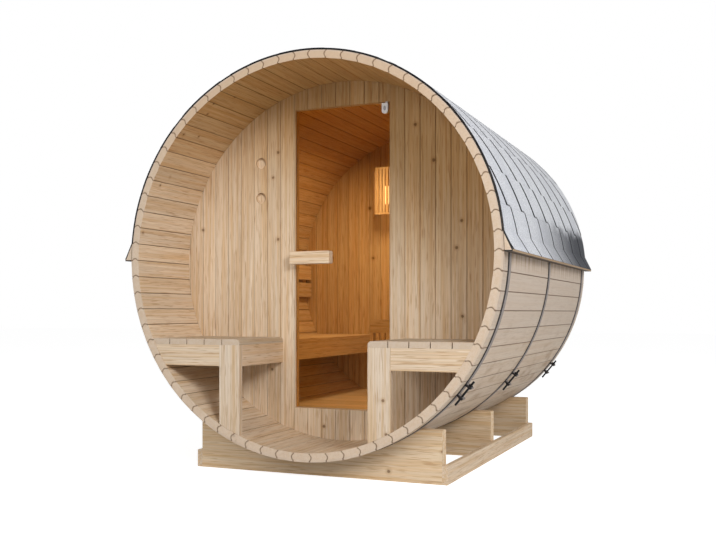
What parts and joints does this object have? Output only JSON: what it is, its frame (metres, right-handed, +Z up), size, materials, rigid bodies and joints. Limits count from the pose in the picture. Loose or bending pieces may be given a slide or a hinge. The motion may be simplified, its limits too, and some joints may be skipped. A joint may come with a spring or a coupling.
{
  "type": "barrel sauna",
  "caption": "Horizontal barrel sauna of bead-and-cove staves on a cradle, with an open porch, corner seats, a glass door, a cabin bench and a shingled half-round roof",
  "frame": {"origin": "on the ground, under the middle of the part", "axes": "+X to the right seen from the front, -Y out of the door, +Z up"},
  "size_m": [1.9856, 2.106, 1.9985],
  "materials": {
    "spruce": "planed, untreated",
    "strap_steel": "rolled",
    "black_steel": "black oxide",
    "hinge_metal": "satin",
    "roof_felt": "mineral granules",
    "bronze_glass": "tinted, polished",
    "lamp_white": "opal"
  },
  "bodies": {
    "body": {"backrest_battens": "spruce", "backrest_slats": "spruce", "band_front": "strap_steel", "band_middle": "strap_steel", "band_rear": "strap_steel", "bench_frame": "spruce", "bench_slats": "spruce", "cradle_rails": "spruce", "door_pivots": "hinge_metal", "eave_board_left": "spruce", "eave_board_right": "spruce", "floor_joists": "spruce", "floor_slats": "spruce", "front_wall_bottom": "spruce", "front_wall_left": "spruce", "front_wall_right": "spruce", "front_wall_top": "spruce", "heater_guard_frame": "spruce", "heater_guard_slats": "spruce", "lamp_bulb": "lamp_white", "lamp_shade": "spruce", "porch_seat_left_frame": "spruce", "porch_seat_left_leg": "spruce", "porch_seat_left_slats": "spruce", "porch_seat_right_frame": "spruce", "porch_seat_right_leg": "spruce", "porch_seat_right_slats": "spruce", "rear_wall": "spruce", "roof_ridge": "roof_felt", "roof_shingles_left": "roof_felt", "roof_shingles_right": "roof_felt", "saddle_front": "spruce", "saddle_middle": "spruce", "saddle_rear": "spruce", "staves_bottom": "spruce", "staves_left_1": "spruce", "staves_left_2": "spruce", "staves_left_3": "spruce", "staves_left_4": "spruce", "staves_right_1": "spruce", "staves_right_2": "spruce", "staves_right_3": "spruce", "staves_right_4": "spruce", "staves_top": "spruce", "tensioner_front": "black_steel", "tensioner_middle": "black_steel", "tensioner_rear": "black_steel", "vent_plugs": "spruce"},
    "door": {"door_glass": "bronze_glass", "door_handle_inner": "spruce", "door_handle_outer": "spruce", "door_hinges": "hinge_metal"}
  },
  "joints": [
    {"name": "door_hinge", "type": "hinge", "parent": "body", "child": "door", "pos_m": [0.2475, -0.597, 0.283], "axis": [0, 0, 1], "range_deg": [0, 95]}
  ]
}
